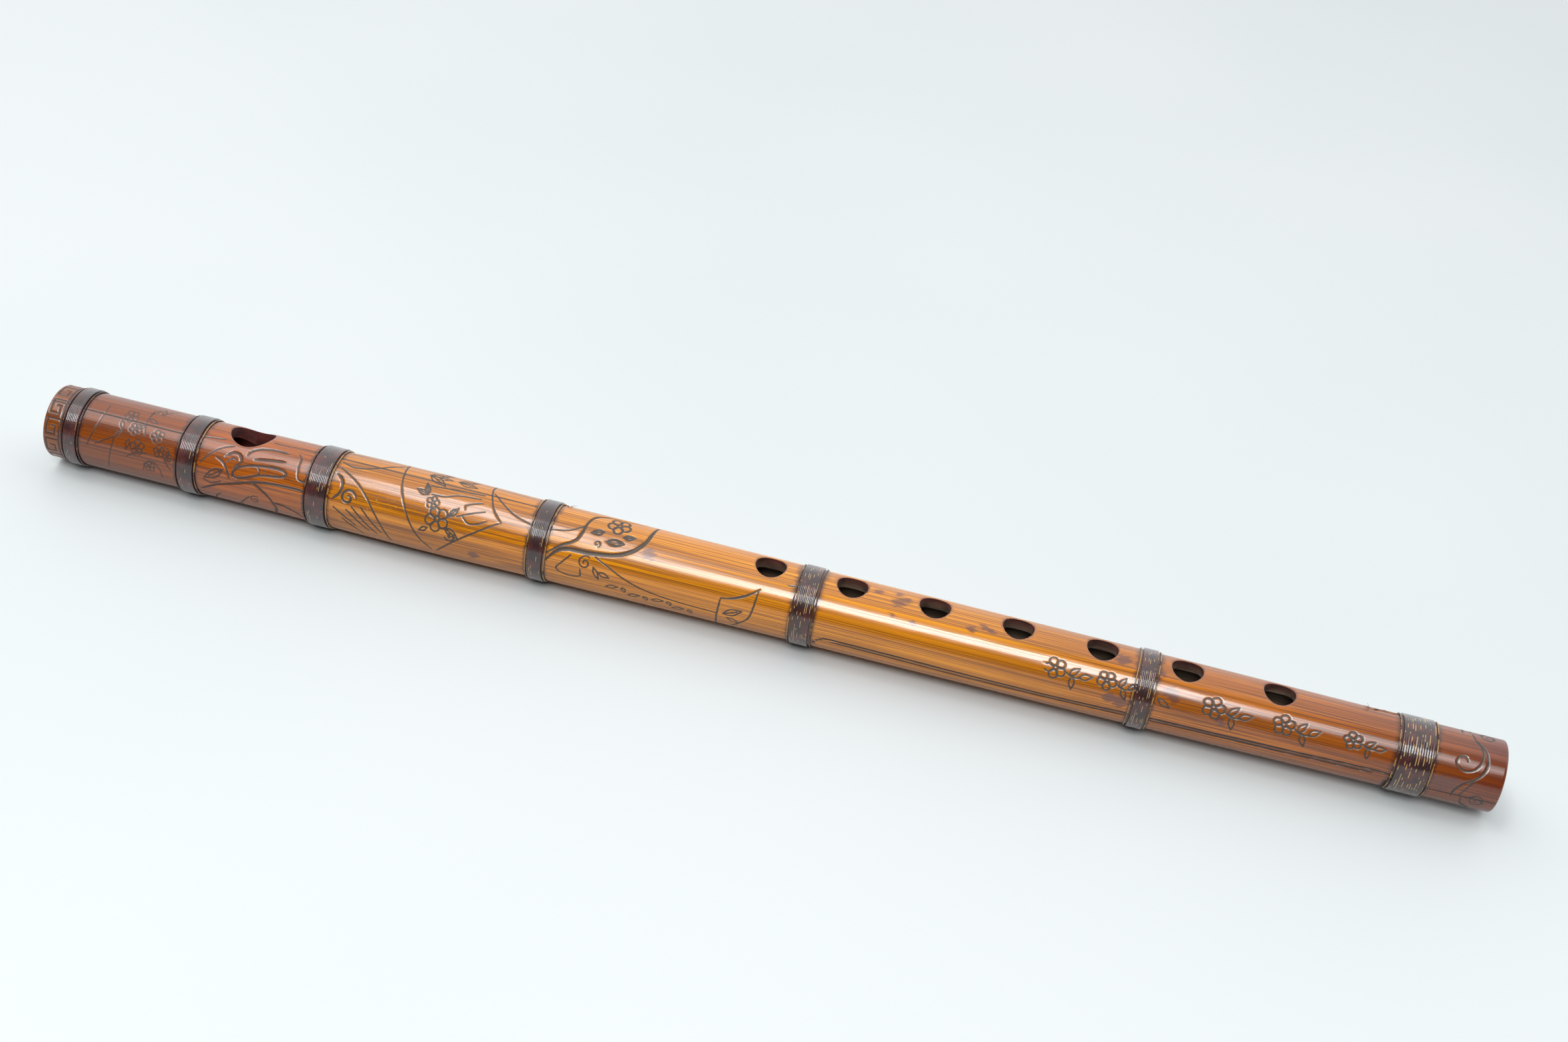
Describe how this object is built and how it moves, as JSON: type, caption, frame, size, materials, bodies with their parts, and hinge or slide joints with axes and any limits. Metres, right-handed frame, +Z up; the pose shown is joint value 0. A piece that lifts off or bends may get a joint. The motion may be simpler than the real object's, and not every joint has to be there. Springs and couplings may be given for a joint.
{
  "type": "bamboo flute",
  "caption": "Side-blown bamboo flute with an oval blow hole, a line of finger holes, thread bindings and a sliding cork stopper in its closed head.",
  "frame": {"origin": "under the middle of the flute's length, on the surface that its thickest binding rests on", "axes": "+X along the bore from the closed head to the open foot, +Z up, the way the holes face"},
  "size_m": [0.389, 0.022, 0.022],
  "materials": {
    "bamboo": "carved and lacquered, glossy",
    "plug_wood": "dark lacquered end grain",
    "cork": "natural cork, matt",
    "lacquered_thread": "wound thread under dark maroon lacquer, worn golden in places",
    "golden_thread": "golden twisted thread, worn",
    "loose_thread": "frayed loose thread"
  },
  "bodies": {
    "flute": {"bamboo_tube": "bamboo", "head_plug": "plug_wood", "head_end_binding_thread": "lacquered_thread", "crown_binding_thread": "lacquered_thread", "lip_binding_thread": "lacquered_thread", "barrel_binding_thread": "lacquered_thread", "upper_hand_binding_thread": "lacquered_thread", "lower_hand_binding_thread": "lacquered_thread", "foot_end_binding_thread": "lacquered_thread", "head_end_binding_head_side_strand": "golden_thread", "head_end_binding_foot_side_strand": "golden_thread", "crown_binding_head_side_strand": "golden_thread", "crown_binding_foot_side_strand": "golden_thread", "lip_binding_head_side_strand": "golden_thread", "lip_binding_foot_side_strand": "golden_thread", "barrel_binding_head_side_strand": "golden_thread", "barrel_binding_foot_side_strand": "golden_thread", "upper_hand_binding_head_side_strand": "golden_thread", "upper_hand_binding_foot_side_strand": "golden_thread", "lower_hand_binding_head_side_strand": "golden_thread", "lower_hand_binding_foot_side_strand": "golden_thread", "foot_end_binding_head_side_strand": "golden_thread", "foot_end_binding_foot_side_strand": "golden_thread", "barrel_binding_thread_end": "loose_thread", "foot_end_binding_thread_end": "loose_thread"},
    "stopper": {"cork_stopper": "cork"}
  },
  "joints": [
    {"name": "stopper_slide", "type": "slide", "parent": "flute", "child": "stopper", "axis": [1, 0, 0], "range_m": [-0.004, 0.003]}
  ]
}
